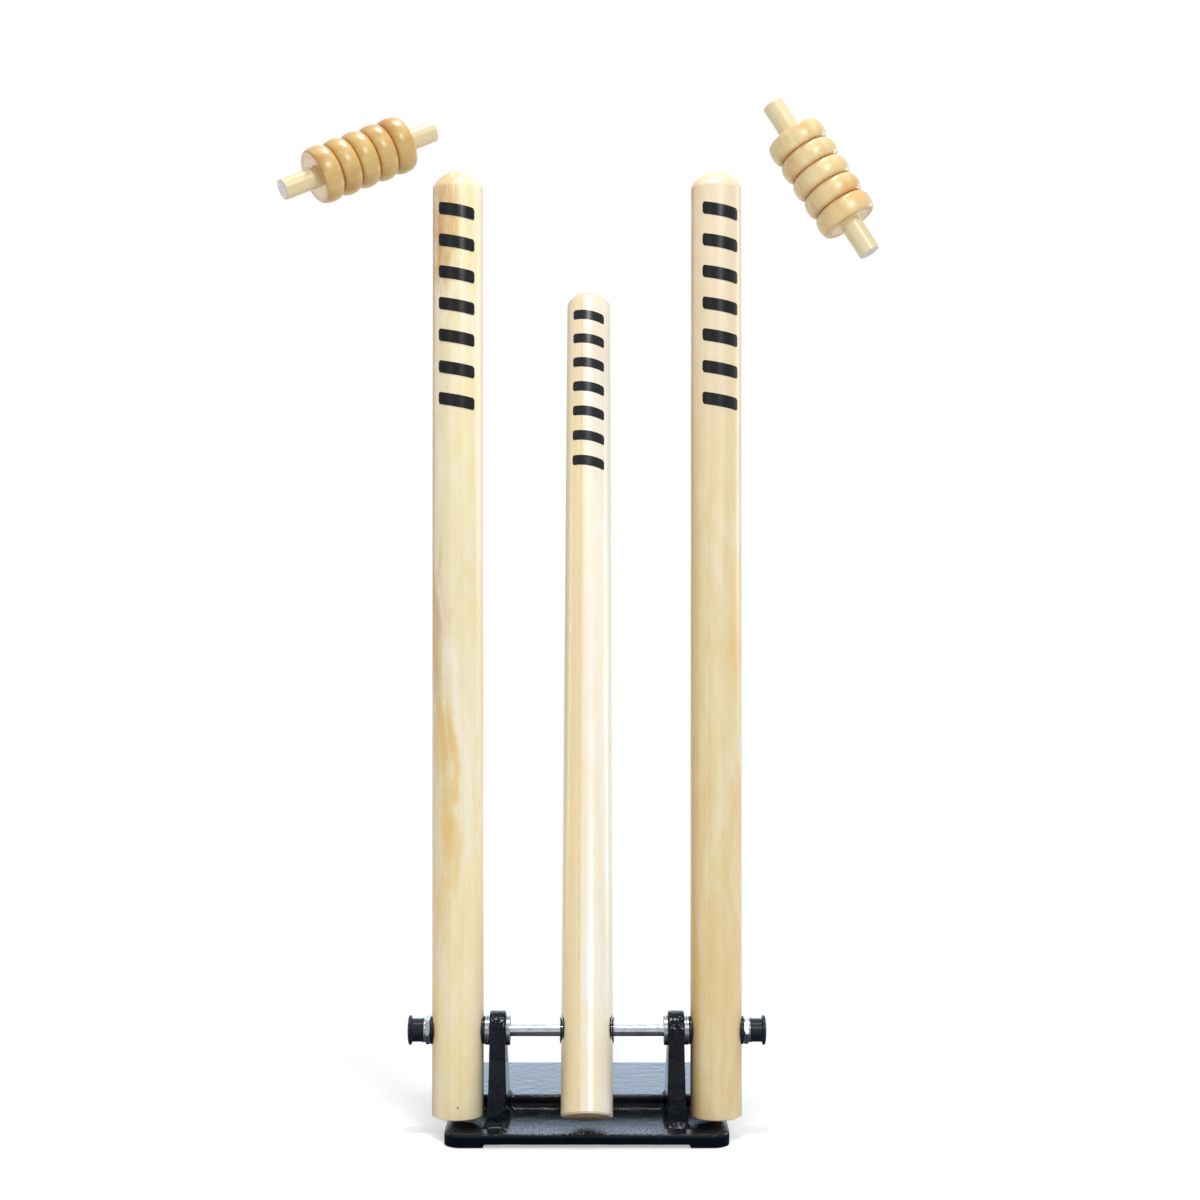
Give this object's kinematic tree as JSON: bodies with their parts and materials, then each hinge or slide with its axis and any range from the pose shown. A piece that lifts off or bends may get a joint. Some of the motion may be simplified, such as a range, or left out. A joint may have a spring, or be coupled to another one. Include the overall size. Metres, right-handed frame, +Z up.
{
  "type": "cricket stumps",
  "caption": "Spring-return cricket stumps: wooden stumps on a chrome rod in the brackets of a black cast base, the middle one knocked back and the turned bails flying off.",
  "frame": {"origin": "on the floor, straight under the rod's axis at the middle stump's centre", "axes": "+X to the right as seen from the front, +Y to the back, +Z up"},
  "size_m": [0.315, 0.7186, 0.7113],
  "materials": {
    "black_enamel": "gloss black enamel over sandy cast iron",
    "chrome": "polished",
    "zinc": "bright zinc plate",
    "dark_steel": "black oxide",
    "black_plastic": "satin black",
    "spring_steel": "oiled spring wire",
    "yellow_wood": "clear gloss varnish",
    "cream_wood": "clear gloss varnish",
    "tan_wood": "clear gloss varnish",
    "bail_wood": "clear gloss varnish"
  },
  "bodies": {
    "base": {"base_casting": "black_enamel", "pivot_rod": "chrome", "left_bracket_bush": "zinc", "left_set_screw": "dark_steel", "left_bracket_washer": "zinc", "left_stump_washer": "zinc", "left_jam_nut": "zinc", "left_end_washer": "zinc", "left_end_cap": "black_plastic", "middle_left_retainer": "dark_steel", "right_bracket_bush": "zinc", "right_set_screw": "dark_steel", "right_bracket_washer": "zinc", "right_stump_washer": "zinc", "right_jam_nut": "zinc", "right_end_washer": "zinc", "right_end_cap": "black_plastic", "middle_right_retainer": "dark_steel", "left_return_spring": "spring_steel", "middle_return_spring": "spring_steel", "right_return_spring": "spring_steel"},
    "left_stump": {"left_stump": "yellow_wood", "left_stump_left_bush": "black_plastic", "left_stump_right_bush": "black_plastic"},
    "middle_stump": {"middle_stump": "cream_wood", "middle_stump_left_bush": "black_plastic", "middle_stump_right_bush": "black_plastic"},
    "right_stump": {"right_stump": "tan_wood", "right_stump_left_bush": "black_plastic", "right_stump_right_bush": "black_plastic"},
    "left_bail": {"left_bail": "bail_wood"},
    "right_bail": {"right_bail": "bail_wood"}
  },
  "joints": [
    {"name": "left_stump_swing", "type": "hinge", "parent": "base", "child": "left_stump", "pos_m": [-0.0953, 0, 0.078], "axis": [-1, 0, 0], "range_deg": [-60, 85], "stiffness_Nm_per_rad": 4, "deforming": ["left_return_spring"]},
    {"name": "middle_stump_swing", "type": "hinge", "parent": "base", "child": "middle_stump", "pos_m": [0, 0, 0.078], "axis": [-1, 0, 0], "range_deg": [-83.4, 61.6], "stiffness_Nm_per_rad": 4, "springref_deg": -23.4, "deforming": ["middle_return_spring"]},
    {"name": "right_stump_swing", "type": "hinge", "parent": "base", "child": "right_stump", "pos_m": [0.0953, 0, 0.078], "axis": [-1, 0, 0], "range_deg": [-60, 85], "stiffness_Nm_per_rad": 4, "deforming": ["right_return_spring"]},
    {"name": "left_bail_flight", "type": "slide", "parent": "base", "child": "left_bail", "axis": [-0.177, -0.9645, -0.1959], "range_m": [-0.2, 0]},
    {"name": "right_bail_flight", "type": "slide", "parent": "base", "child": "right_bail", "axis": [0.1695, -0.9611, -0.2181], "range_m": [-0.2, 0]}
  ]
}
